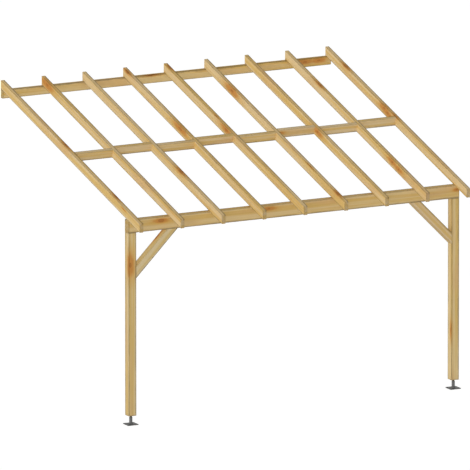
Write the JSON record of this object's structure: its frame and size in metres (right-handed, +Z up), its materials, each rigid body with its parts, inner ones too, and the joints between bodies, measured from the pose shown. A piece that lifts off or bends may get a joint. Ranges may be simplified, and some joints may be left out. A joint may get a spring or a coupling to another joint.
{
  "type": "lean-to carport frame",
  "caption": "Open timber lean-to carport frame: sloping rafters with noggings between a wall plate and a front beam, on braced posts with adjustable steel feet.",
  "frame": {"origin": "centre of the wall plate's back face, which lies against the wall", "axes": "+X along the wall to the right as seen from the front, +Y into the wall, +Z up"},
  "size_m": [4.035, 3.25, 3.2257],
  "materials": {
    "timber": "planed softwood, untreated",
    "foot_steel": "dark grey coated steel",
    "rod_steel": "dark oiled threaded steel"
  },
  "bodies": {
    "root": {"wall_plate": "timber", "front_beam": "timber", "rafter_1": "timber", "rafter_2": "timber", "rafter_3": "timber", "rafter_4": "timber", "rafter_5": "timber", "rafter_6": "timber", "rafter_7": "timber", "rafter_8": "timber", "rafter_9": "timber", "nogging_1": "timber", "nogging_2": "timber", "nogging_3": "timber", "nogging_4": "timber", "nogging_5": "timber", "nogging_6": "timber", "nogging_7": "timber", "nogging_8": "timber", "left_post": "timber", "right_post": "timber", "left_brace": "timber", "right_brace": "timber", "left_foot_base": "foot_steel", "left_foot_sleeve": "foot_steel", "right_foot_base": "foot_steel", "right_foot_sleeve": "foot_steel", "left_foot_rod": "rod_steel", "right_foot_rod": "rod_steel"}
  },
  "joints": []
}
